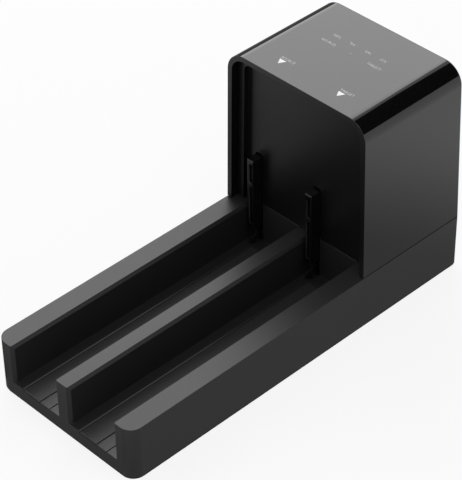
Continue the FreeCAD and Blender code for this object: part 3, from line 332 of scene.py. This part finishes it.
@dataclass
class Workshop:
    """Makes meshes and puts finishes on them.

    Attributes:
        nodes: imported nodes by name.
        merge_within: distance under which corners are one, in millimetres.
        flat_under: turn under which two faces are one, in degrees.
        broken_over: turn over which an edge is broken, in degrees.
        edge_steps: faces across a broken edge.
        flatness: how strongly large faces keep their own shading, up to 100.
        front_under: part of a normal along Y, under which a face looks to the front.
    """

    nodes: dict[str, bpy.types.Object]
    merge_within: float = 0.002
    flat_under: float = 0.4
    broken_over: float = 35.0
    edge_steps: int = 2
    flatness: int = 80
    front_under: float = -0.95

    def __post_init__(self) -> None:
        """Builds the shared effects."""
        self.groups = EffectGroups()
        self.materials: dict[str, bpy.types.Material] = {}

    def material(self, finish: Finish) -> bpy.types.Material:
        """The material of a finish, made once.

        Args:
            finish: the finish.

        Returns:
            Its material.
        """
        if finish.name not in self.materials:
            self.materials[finish.name] = finish.build(self.groups)
        return self.materials[finish.name]

    def dress(self, target: bpy.types.Object, finish: Finish) -> None:
        """Puts one finish on a whole object.

        Args:
            target: the object.
            finish: its finish.
        """
        target.data.materials.clear()
        target.data.materials.append(self.material(finish))

    def dress_nodes(self, names: list[str], finish: Finish) -> None:
        """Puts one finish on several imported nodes.

        Args:
            names: node names.
            finish: their finish.
        """
        for name in names:
            self.dress(self.nodes[name], finish)
            log.info("node %s: %s", name, finish.name)

    def soften(self, name: str, body: str, finish: Finish, edge: float,
               smooth_under: float = 28.0) -> bpy.types.Object:
        """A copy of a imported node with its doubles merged, its curves smooth and its edges broken.

        Args:
            name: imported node.
            body: body that the piece rides on.
            finish: finish of the piece.
            edge: width of the broken edge, in millimetres.
            smooth_under: largest angle between faces that shade as one curve, in degrees.

        Returns:
            The finished piece, which replaces the node.
        """
        mesh = self.nodes[name].data.copy()
        form = bmesh.new()
        form.from_mesh(mesh)
        bmesh.ops.remove_doubles(form, verts=form.verts, dist=self.merge_within * MM)
        bmesh.ops.dissolve_limit(form, angle_limit=math.radians(self.flat_under), verts=form.verts,
                                 edges=form.edges)
        for face in form.faces:
            face.smooth = True
        broken_edges = form.edges.layers.float.new("bevel_weight_edge")
        for line in form.edges:
            turn = line.calc_face_angle(0.0)
            line.smooth = len(line.link_faces) == 2 and turn < math.radians(smooth_under)
            line[broken_edges] = 1.0 if turn > math.radians(self.broken_over) else 0.0
        form.to_mesh(mesh)
        form.free()
        piece = bpy.data.objects.new(name + "_finished", mesh)
        bpy.context.scene.collection.objects.link(piece)
        broken = piece.modifiers.new("broken_edge", "BEVEL")
        broken.width = edge * MM
        broken.segments = self.edge_steps
        broken.limit_method = "WEIGHT"
        broken.use_clamp_overlap = False
        broken.harden_normals = False
        flat = piece.modifiers.new("flat_faces", "WEIGHTED_NORMAL")
        flat.keep_sharp = True
        flat.weight = self.flatness
        self.dress(piece, finish)
        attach(piece, body)
        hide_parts(name)
        log.info("piece %s replaces %s", piece.name, name)
        return piece

    def dress_front(self, piece: bpy.types.Object, finish: Finish) -> None:
        """Gives the faces that look towards the open mouth, at minus Y, a finish of their own.

        Args:
            piece: the piece.
            finish: finish of those faces.
        """
        piece.data.materials.append(self.material(finish))
        normals = np.zeros(len(piece.data.polygons) * 3)
        piece.data.polygons.foreach_get("normal", normals)
        front = normals.reshape(-1, 3)[:, 1] < self.front_under
        piece.data.polygons.foreach_set("material_index", front.astype(np.int32))
        log.info("piece %s: %d front faces in %s", piece.name, int(front.sum()), finish.name)

    def grid_piece(self, name: str, points: np.ndarray, body: str, finish: Finish) -> bpy.types.Object:
        """A faceted surface from a grid of points.

        Args:
            name: name of the piece.
            points: array of shape (rows, columns, 3), in metres.
            body: body that the piece rides on.
            finish: finish of the piece.

        Returns:
            The finished piece.
        """
        rows, columns, _ = points.shape
        index = np.arange(rows * columns).reshape(rows, columns)
        corners = [index[:-1, :-1], index[:-1, 1:], index[1:, 1:], index[1:, :-1]]
        quads = np.stack(corners, axis=-1).reshape(-1, 4)
        mesh = bpy.data.meshes.new(name)
        mesh.from_pydata(points.reshape(-1, 3).tolist(), [], quads.tolist())
        piece = bpy.data.objects.new(name, mesh)
        bpy.context.scene.collection.objects.link(piece)
        self.dress(piece, finish)
        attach(piece, body)
        log.info("piece %s: %d faces", name, len(quads))
        return piece


@dataclass
class Housing:
    """Base, tower shell, front panel and the soft strips in the channels.

    Attributes:
        shop: the workshop.
        palette: the finishes.
        base_edge: broken edge of the base, in millimetres, as the next three are.
        shell_edge: that of the shell.
        panel_edge: that of the front panel.
        strip_edge: that of the strips.
        base_smooth_under: largest angle that shades as one curve on the base, in degrees.
        bead_profile: way across and height of each point of the ridge beside a strip.
        groove_shade_profile: the same for the painted groove shade beside it, a flat, near black ribbon in
            place of a groove's shadow.
    """

    shop: Workshop
    palette: Palette
    base_edge: float = 0.1
    shell_edge: float = 0.12
    panel_edge: float = 0.12
    strip_edge: float = 0.3
    base_smooth_under: float = 18.0
    bead_profile: tuple[tuple[float, float], ...] = ((-0.75, 0.0), (-0.65, 0.18), (-0.1, 0.0))
    groove_shade_profile: tuple[tuple[float, float], ...] = ((-0.4, 0.01), (0.15, 0.01))

    def build(self) -> None:
        """Dresses the big mouldings."""
        shop, palette = self.shop, self.palette
        shop.soften("base_cradle", "housing", palette.base, self.base_edge, self.base_smooth_under)
        shell = shop.soften("tower_shell", "housing", palette.shell, self.shell_edge)
        shop.dress_front(shell, palette.panel)
        shop.soften("front_panel", "housing", palette.panel, self.panel_edge)
        shop.dress_nodes(["bottom_plate"], palette.base)
        for name in ("floor_pad_left", "floor_pad_right"):
            shop.soften(name, "housing", palette.strip, self.strip_edge)
            self._trim(name)
        shop.dress_nodes(["rubber_feet"], palette.rubber)

    def _trim(self, strip: str) -> None:
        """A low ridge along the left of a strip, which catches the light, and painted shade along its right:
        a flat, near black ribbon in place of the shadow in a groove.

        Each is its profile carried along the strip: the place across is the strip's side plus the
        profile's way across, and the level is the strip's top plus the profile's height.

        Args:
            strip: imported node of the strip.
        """
        corners = np.array(self.shop.nodes[strip].bound_box)
        low, high = corners.min(axis=0), corners.max(axis=0)
        ends = np.array([[low[1]], [high[1]]])
        # The second piece is painted shade: a flat dark ribbon just above the strip, in place of a groove's
        # shadow.
        for name, side, profile, finish in (("_bead", low[0], self.bead_profile, self.palette.bead),
                                            ("_groove_shade", high[0], self.groove_shade_profile, self.palette.seam)):
            across, rise = np.array(profile).T * MM
            points = np.stack(np.broadcast_arrays(side + across, ends, high[2] + rise), axis=-1)
            self.shop.grid_piece(strip + name, points, "housing", finish)


@dataclass
class DriveConnectors:
    """The two upright receptacles and the board behind them.

    Attributes:
        shop: the workshop.
        palette: the finishes.
        edge: broken edge of a receptacle, in millimetres.
    """

    shop: Workshop
    palette: Palette
    edge: float = 0.1

    def build(self) -> None:
        """Dresses both receptacles and their board."""
        for side in ("left", "right"):
            self.shop.soften("sata_housing_" + side, "housing", self.palette.connector, self.edge)
        self.shop.dress_nodes(["sata_contacts_left", "sata_contacts_right"], self.palette.spring)
        self.shop.dress_nodes(["backplane_board"], self.palette.dark_board)
        self.shop.dress_nodes(["card_socket", "cable_sockets"], self.palette.connector)


@dataclass
class Electronics:
    """Boards, packages, lamps and the flat cable inside the closed housing.

    Attributes:
        shop: the workshop.
        palette: the finishes.
    """

    shop: Workshop
    palette: Palette

    def build(self) -> None:
        """Dresses the inner pieces."""
        shop, palette = self.shop, self.palette
        shop.dress_nodes(["main_board", "indicator_board"], palette.board)
        shop.dress_nodes(["controller_chips", "inductors"], palette.chip)
        shop.dress_nodes(["capacitors", "crystals"], palette.can)
        shop.dress_nodes(["status_lamps"], palette.lamp)
        shop.dress_nodes(["light_guide"], palette.clear)
        shop.dress_nodes(["flat_cable"], palette.cable)
        shop.dress_nodes(["base_screws", "tower_screws", "main_board_screws", "backplane_screws",
                          "indicator_board_screws"], palette.steel)


@dataclass
class RearPorts:
    """Power switch, power jack, data socket and copy button.

    Attributes:
        shop: the workshop.
        palette: the finishes.
        rocker_edge: broken edge of the rocker, in millimetres, as the others are.
        button_edge: that of the button.
        frame_edge: that of the jack and of the switch's frame.
        plate_edge: that of the data socket's shell.
    """

    shop: Workshop
    palette: Palette
    rocker_edge: float = 0.2
    button_edge: float = 0.1
    frame_edge: float = 0.14
    plate_edge: float = 0.06

    def build(self) -> None:
        """Dresses the ports."""
        shop, palette = self.shop, self.palette
        shop.soften("usb_socket_shell", "housing", palette.nickel, self.plate_edge)
        shop.soften("power_jack", "housing", palette.port, self.frame_edge)
        shop.soften("power_switch_body", "housing", palette.port, self.frame_edge)
        shop.soften("power_rocker", "rocker", palette.rocker, self.rocker_edge)
        shop.soften("copy_button", "button", palette.button, self.button_edge)
        shop.dress_nodes(["power_jack_pin"], palette.nickel)
        shop.dress_nodes(["usb_socket_body", "copy_switch_body"], palette.port)
        shop.dress_nodes(["usb_socket_contacts"], palette.gold)
        shop.dress_nodes(["copy_switch_plunger"], palette.button)


@dataclass
class TopMarks:
    """Thin printed marks on the top: progress numbers, words for the two bays, two arrows and a pointer.

    Sizes are in millimetres.

    Attributes:
        shop: the workshop.
        palette: the finishes.
        top: level of the tower's top.
        ink_thickness: height of the ink above it.
        number_row: place of the numbers along Y.
        word_row: place of the bay words along Y.
        number_places: places of the numbers along X.
        word_places: places of the bay words along X.
        arrow_places: places of the arrows along X.
        arrow_tip: place of the arrows' tips along Y.
        arrow_base: place of the arrows' other ends along Y.
        arrow_width: width of an arrow.
        arrow_word_shift: way from the middle of an arrow's base to the word beside it.
        pointer_reach: half the length of the pointer.
        letter_height: height of a capital.
        em_heights: size of the type, in heights of a capital.
        curve_steps: points between two corners of a letter's curve.
    """

    shop: Workshop
    palette: Palette
    top: float
    ink_thickness: float = 0.04
    number_row: float = 76.9
    word_row: float = 71.0
    number_places: tuple[float, ...] = (-13.7, -5.0, 4.3, 13.1)
    word_places: tuple[float, ...] = (-13.3, 13.1)
    arrow_places: tuple[float, ...] = (-17.5, 16.9)
    arrow_tip: float = 44.2
    arrow_base: float = 47.5
    arrow_width: float = 3.8
    arrow_word_shift: tuple[float, float] = (1.6, 1.3)
    pointer_reach: float = 0.9
    letter_height: float = 1.5
    em_heights: float = 1.4
    curve_steps: int = 2

    def build(self) -> None:
        """Prints every mark."""
        for text, x in zip(("100%", "75%", "50%", "25%"), self.number_places):
            self._word("progress_" + text.strip("%"), text, x, self.number_row)
        for text, x in zip(("SOURCE", "TARGET"), self.word_places):
            self._word("bay_word_" + text.lower(), text, x, self.word_row)
        aside, behind = self.arrow_word_shift
        for side, text, x in zip(("left", "right"), ("SOURCE", "TARGET"), self.arrow_places):
            self._arrow("arrow_" + side, x)
            self._word("arrow_word_" + side, text, x + aside, self.arrow_base + behind)
        self._pointer("copy_direction")

    def _finish_flat(self, name: str, mesh: bpy.types.Mesh, finish: Finish) -> None:
        """Puts a flat mark on the top.

        Args:
            name: name of the piece.
            mesh: its mesh, in place.
            finish: its finish.
        """
        piece = bpy.data.objects.new(name, mesh)
        bpy.context.scene.collection.objects.link(piece)
        self.shop.dress(piece, finish)
        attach(piece, "housing")
        log.info("mark %s", name)

    def _word(self, name: str, text: str, x: float, y: float) -> None:
        """A short generic word or number, centred on a place.

        Args:
            name: name of the piece.
            text: the characters.
            x: middle along X.
            y: middle along Y.
        """
        curve = bpy.data.curves.new(name, "FONT")
        curve.body = text
        curve.size = self.letter_height * self.em_heights * MM
        curve.align_x = "CENTER"
        curve.align_y = "CENTER"
        curve.resolution_u = self.curve_steps
        holder = bpy.data.objects.new(name + "_curve", curve)
        bpy.context.scene.collection.objects.link(holder)
        bpy.context.view_layer.update()
        mesh = bpy.data.meshes.new_from_object(holder.evaluated_get(bpy.context.evaluated_depsgraph_get()))
        bpy.data.objects.remove(holder)
        mesh.transform(Matrix.Translation(Vector((x, y, self.top + self.ink_thickness)) * MM))
        mesh.name = name
        self._finish_flat(name, mesh, self.palette.ink)

    def _arrow(self, name: str, x: float) -> None:
        """A filled arrow head that points at the bays.

        Args:
            name: name of the piece.
            x: middle along X.
        """
        half = self.arrow_width / 2
        corners = [(x - half, self.arrow_base), (x, self.arrow_tip), (x + half, self.arrow_base)]
        self._triangle(name, corners, self.palette.bright_ink)

    def _pointer(self, name: str) -> None:
        """A small faint pointer between the two bay words, whose tip points to plus X.

        Args:
            name: name of the piece.
        """
        reach, y = self.pointer_reach, self.word_row
        self._triangle(name, [(-reach, y - reach), (reach, y), (-reach, y + reach)], self.palette.faint_ink)

    def _triangle(self, name: str, corners: list[tuple[float, float]], finish: Finish) -> None:
        """A flat triangle of ink.

        Args:
            name: name of the piece.
            corners: its three corners on the top.
            finish: its finish.
        """
        points = np.insert(np.array(corners), 2, self.top + self.ink_thickness, axis=1) * MM
        mesh = bpy.data.meshes.new(name)
        mesh.from_pydata(points.tolist(), [], [(0, 1, 2)])
        self._finish_flat(name, mesh, finish)


@dataclass(frozen=True)
class SoftLight:
    """A square soft light that faces the object.

    Attributes:
        name: name of the light.
        place: its middle, in millimetres.
        side: length of its side, in millimetres.
        power: its power in watts.
    """

    name: str
    place: Point
    side: float
    power: float


@dataclass(frozen=True)
class DarkCard:
    """A dark card that only mirrored rays see, as a studio flag. Lengths are in millimetres.

    Attributes:
        name: name of the card.
        place: its middle.
        width: its level side.
        height: its other side.
        level: how bright it looks, where white is 1.
        flat: whether it lies on the floor; else it faces the object.
    """

    name: str
    place: Point
    width: float
    height: float
    level: float = 0.0
    flat: bool = False


@dataclass
class Studio:
    """Floor, soft lights, dark cards and the camera. Lengths are in millimetres, angles in degrees.

    Attributes:
        footprint: half the object's width and half its length.
        azimuth: turn of the camera about the upright axis, from the open mouth towards plus X.
        elevation: height of the camera as an angle.
        roll: turn of the camera about its own axis.
        distance: way from the camera to the target.
        focal_pixels: focal length, in pixels of the picture.
        image_height: height of the picture in pixels.
        target: place that the camera looks at.
        sensor: width of the sensor.
        clip: nearest and farthest way that the camera sees.
        floor_reach: half the floor's side.
        floor_albedo: how much light the floor gives back.
        floor_white: share of plain white in what the camera sees of the floor.
        near_floor: way from the middle within which mirrored rays see the floor dim, with painted shade.
        far_floor: way from which they see it white.
        near_level: how bright the painted shade near the object looks to mirrored rays, where white is 1.
        world_light: strength of the world as a lamp, where the camera sees 1.
        shade_inset: how far the painted shade under the base stays inside its outline.
        shade_lift: its height above the floor.
        front_corner: radius of the base's front corners.
        rear_corner: radius of its rear corners.
        corner_steps: sides of each corner's arc.
        card_and_shade_grey: grey of the dark cards and of the painted shade under the base.
        lights: the soft lights.
        cards: the dark cards.
    """

    footprint: tuple[float, float]
    azimuth: float = 46.25
    elevation: float = 38.84
    roll: float = -0.89
    distance: float = 914.0
    focal_pixels: float = 2143.0
    image_height: float = 480.0
    target: Point = (0.0, -1.7, 47.5)
    sensor: float = 36.0
    clip: tuple[float, float] = (50.0, 50000.0)
    floor_reach: float = 6000.0
    floor_albedo: float = 0.9
    floor_white: float = 0.85
    near_floor: float = 105.0
    far_floor: float = 225.0
    near_level: float = 0.36
    world_light: float = 0.55
    shade_inset: float = 0.3
    shade_lift: float = 0.05
    front_corner: float = 6.0
    rear_corner: float = 1.2
    corner_steps: int = 8
    card_and_shade_grey: float = 0.004
    lights: tuple[SoftLight, ...] = (
        SoftLight("back_panel", (-770.0, 540.0, 800.0), side=960.0, power=7.2),
        SoftLight("key_panel", (500.0, -150.0, 900.0), side=500.0, power=1.3),
    )
    cards: tuple[DarkCard, ...] = (
        DarkCard("right_card", (620.0, 760.0, 800.0), 1500.0, 1100.0),
        DarkCard("left_card", (-1150.0, 740.0, 170.0), 1000.0, 660.0, level=0.2),
        DarkCard("low_card", (-132.0, 160.0, 57.0), 170.0, 112.0, level=0.2),
        DarkCard("front_mat", (-25.0, -112.0, 0.5), 120.0, 26.0, level=0.24, flat=True),
        DarkCard("corner_mat", (-64.0, -82.0, 0.6), 40.0, 44.0, flat=True),
    )

    def build(self) -> None:
        """Sets up the floor, the world, the lights, the cards and the camera."""
        self._floor()
        self._under_shade()
        self._world()
        for light in self.lights:
            self._light(light)
        for card in self.cards:
            self._card(card)
        self._camera()

    def _floor(self) -> None:
        """A wide pale floor that keeps the object's shadow."""
        reach = self.floor_reach * MM
        mesh = bpy.data.meshes.new("floor")
        corners = [(-reach, -reach, 0), (reach, -reach, 0), (reach, reach, 0), (-reach, reach, 0)]
        mesh.from_pydata(corners, [], [(0, 1, 2, 3)])
        floor = bpy.data.objects.new("floor", mesh)
        bpy.context.scene.collection.objects.link(floor)
        mesh.materials.append(self._floor_material())
        floor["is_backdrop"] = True

    def _under_shade(self) -> None:
        """A black patch of painted shade on the floor under the base, which the camera alone sees: no light
        gets there.

        Its outline is a rectangle with rounded corners: the quarter circles follow one another
        about the corners' centres, with their points at equal turns.
        """
        half_width, half_length = (half - self.shade_inset for half in self.footprint)
        sides, ends = np.array([[1, -1, -1, 1], [1, 1, -1, -1]])[:, :, None]
        radii = np.array([self.rear_corner, self.rear_corner, self.front_corner, self.front_corner])[:, None]
        quarters = np.arange(len(radii))[:, None] + np.linspace(0.0, 1.0, self.corner_steps + 1)
        turns = quarters * math.pi / 2
        across = sides * (half_width - radii) + radii * np.cos(turns)
        along = ends * (half_length - radii) + radii * np.sin(turns)
        outline = np.stack([across, along, np.full_like(across, self.shade_lift)], axis=-1) * MM
        # Painted shade: the patch takes the cards' dark grey with no glow, so the gap under the base looks
        # black.
        shade = self._flag("under_shade", outline.reshape(-1, 3).tolist(), 0.0)
        shade.visible_camera = True
        shade.visible_glossy = False

    def _floor_material(self) -> bpy.types.Material:
        """Pale floor that shows shadows; mirrored rays see painted shade on it, dim near the object and
        white farther off.

        Returns:
            The material.
        """
        material = bpy.data.materials.new("pale_floor")
        material.use_nodes = True
        tree = material.node_tree
        nodes, links = tree.nodes, tree.links
        nodes.clear()
        path = nodes.new("ShaderNodeLightPath")
        matte = nodes.new("ShaderNodeBsdfDiffuse")
        matte.inputs["Color"].default_value = (self.floor_albedo, self.floor_albedo, self.floor_albedo, 1.0)
        white = nodes.new("ShaderNodeEmission")
        white.inputs["Strength"].default_value = 1.0
        share = math_node(tree, "MULTIPLY", self.floor_white)
        links.new(path.outputs["Is Camera Ray"], share.inputs[0])
        shadowed = nodes.new("ShaderNodeMixShader")
        links.new(share.outputs[0], shadowed.inputs["Fac"])
        links.new(matte.outputs[0], shadowed.inputs[1])
        links.new(white.outputs[0], shadowed.inputs[2])
        # Painted shade: mirrored rays see the floor glow darker near the object, in place of the object's
        # shadow on it.
        place = nodes.new("ShaderNodeTexCoord")
        away = nodes.new("ShaderNodeVectorMath")
        away.operation = "LENGTH"
        links.new(place.outputs["Object"], away.inputs[0])
        level = nodes.new("ShaderNodeMapRange")
        level.interpolation_type = "SMOOTHSTEP"
        level.inputs["From Min"].default_value = self.near_floor * MM
        level.inputs["From Max"].default_value = self.far_floor * MM
        level.inputs["To Min"].default_value = self.near_level
        links.new(away.outputs["Value"], level.inputs["Value"])
        mirrored = nodes.new("ShaderNodeEmission")
        links.new(level.outputs["Result"], mirrored.inputs["Strength"])
        either = self._mirrored_rays(tree, path)
        mix = nodes.new("ShaderNodeMixShader")
        links.new(either.outputs[0], mix.inputs["Fac"])
        links.new(shadowed.outputs[0], mix.inputs[1])
        links.new(mirrored.outputs[0], mix.inputs[2])
        out = nodes.new("ShaderNodeOutputMaterial")
        links.new(mix.outputs[0], out.inputs["Surface"])
        return material

    def _world(self) -> None:
        """A world that is white to the camera and in reflections, and dim as a lamp."""
        world = bpy.data.worlds.new("studio")
        bpy.context.scene.world = world
        world.use_nodes = True
        tree = world.node_tree
        nodes, links = tree.nodes, tree.links
        nodes.clear()
        path = nodes.new("ShaderNodeLightPath")
        dim = nodes.new("ShaderNodeBackground")
        dim.inputs["Color"].default_value = WHITE
        dim.inputs["Strength"].default_value = self.world_light
        white = nodes.new("ShaderNodeBackground")
        white.inputs["Color"].default_value = WHITE
        white.inputs["Strength"].default_value = 1.0
        seen = math_node(tree, "MAXIMUM")
        links.new(path.outputs["Is Camera Ray"], seen.inputs[0])
        links.new(self._mirrored_rays(tree, path).outputs[0], seen.inputs[1])
        mix = nodes.new("ShaderNodeMixShader")
        links.new(seen.outputs[0], mix.inputs["Fac"])
        links.new(dim.outputs[0], mix.inputs[1])
        links.new(white.outputs[0], mix.inputs[2])
        out = nodes.new("ShaderNodeOutputWorld")
        links.new(mix.outputs[0], out.inputs["Surface"])

    @staticmethod
    def _mirrored_rays(tree: bpy.types.NodeTree, path: bpy.types.Node) -> bpy.types.Node:
        """Adds the node that is 1 for rays seen in gloss or through clear plastic.

        Args:
            tree: the tree.
            path: its light path node.

        Returns:
            The node.
        """
        either = math_node(tree, "MAXIMUM")
        tree.links.new(path.outputs["Is Glossy Ray"], either.inputs[0])
        tree.links.new(path.outputs["Is Transmission Ray"], either.inputs[1])
        return either

    def _light(self, light: SoftLight) -> None:
        """Hangs a soft light.

        Args:
            light: the light.
        """
        lamp = bpy.data.lights.new(light.name, "AREA")
        lamp.shape = "SQUARE"
        lamp.size = light.side * MM
        lamp.energy = light.power
        holder = bpy.data.objects.new(light.name, lamp)
        bpy.context.scene.collection.objects.link(holder)
        holder.location = Vector(light.place) * MM
        toward = Vector(self.target) * MM - holder.location
        holder.rotation_euler = toward.to_track_quat("-Z", "Y").to_euler()

    def _card(self, card: DarkCard) -> None:
        """Sets up a dark card.

        Args:
            card: the card.
        """
        middle = Vector(card.place) * MM
        if card.flat:
            along, rising = Vector((1.0, 0.0, 0.0)), Vector((0.0, 1.0, 0.0))
        else:
            facing = (middle - Vector(self.target) * MM).normalized()
            along = Vector((-facing.y, facing.x, 0.0)).normalized()
            rising = facing.cross(along)
        reach, rise = along * card.width * MM / 2, rising * card.height * MM / 2
        near, far = middle - rise, middle + rise
        corners = [near - reach, near + reach, far + reach, far - reach]
        self._flag(card.name, [tuple(corner) for corner in corners], card.level)

    def _flag(self, name: str, corners: list[Point], level: float) -> bpy.types.Object:
        """A flat dark piece of the studio, seen by mirrored rays alone.

        Args:
            name: name of the piece.
            corners: its outline in order, in metres.
            level: how bright it looks, where white is 1.

        Returns:
            The piece.
        """
        mesh = bpy.data.meshes.new(name)
        mesh.from_pydata(corners, [], [tuple(range(len(corners)))])
        card = bpy.data.objects.new(name, mesh)
        bpy.context.scene.collection.objects.link(card)
        # Dark cards and the painted shade under the base share this material.
        material = bpy.data.materials.new("felt_and_painted_shade")
        material.use_nodes = True
        shader = material.node_tree.nodes["Principled BSDF"]
        shader.inputs["Base Color"].default_value = (self.card_and_shade_grey, self.card_and_shade_grey, self.card_and_shade_grey, 1.0)
        shader.inputs["Specular IOR Level"].default_value = 0.0
        shader.inputs["Emission Color"].default_value = WHITE
        shader.inputs["Emission Strength"].default_value = level
        mesh.materials.append(material)
        card.visible_camera = False
        card.visible_diffuse = False
        card.visible_shadow = False
        card.visible_transmission = False
        card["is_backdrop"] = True
        return card

    def _camera(self) -> None:
        """The camera at the photograph's angle: a level orbit, then a small roll about its own axis."""
        azimuth, elevation = math.radians(self.azimuth), math.radians(self.elevation)
        level = math.cos(elevation)
        back = Vector((math.sin(azimuth) * level, -math.cos(azimuth) * level, math.sin(elevation)))
        right = Vector((math.cos(azimuth), math.sin(azimuth), 0.0))
        up = back.cross(right)
        turn = math.radians(self.roll)
        rolled_right = math.cos(turn) * right + math.sin(turn) * up
        rolled_up = -math.sin(turn) * right + math.cos(turn) * up
        data = bpy.data.cameras.new("camera")
        data.sensor_width = self.sensor
        data.lens = self.focal_pixels * self.sensor / self.image_height
        data.clip_start, data.clip_end = (length * MM for length in self.clip)
        camera = bpy.data.objects.new("camera", data)
        bpy.context.scene.collection.objects.link(camera)
        place = (Vector(self.target) + back * self.distance) * MM
        turned = Matrix((rolled_right, rolled_up, back)).transposed().to_4x4()
        camera.matrix_world = Matrix.Translation(place) @ turned
        bpy.context.scene.camera = camera


def main() -> None:
    """Builds the whole scene in order."""
    logging.basicConfig(level=logging.INFO, format="%(message)s")
    bpy.ops.wm.read_factory_settings(use_empty=True)
    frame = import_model()
    cad_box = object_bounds()
    far_corner = [length / MM for length in cad_box[1]]
    shop = Workshop(frame["nodes"])
    palette = Palette()
    Housing(shop, palette).build()
    DriveConnectors(shop, palette).build()
    Electronics(shop, palette).build()
    RearPorts(shop, palette).build()
    TopMarks(shop, palette, top=far_corner[2]).build()
    Studio(footprint=(far_corner[0], far_corner[1])).build()
    bpy.context.scene.view_settings.view_transform = "Standard"


if __name__ == "__main__":
    main()
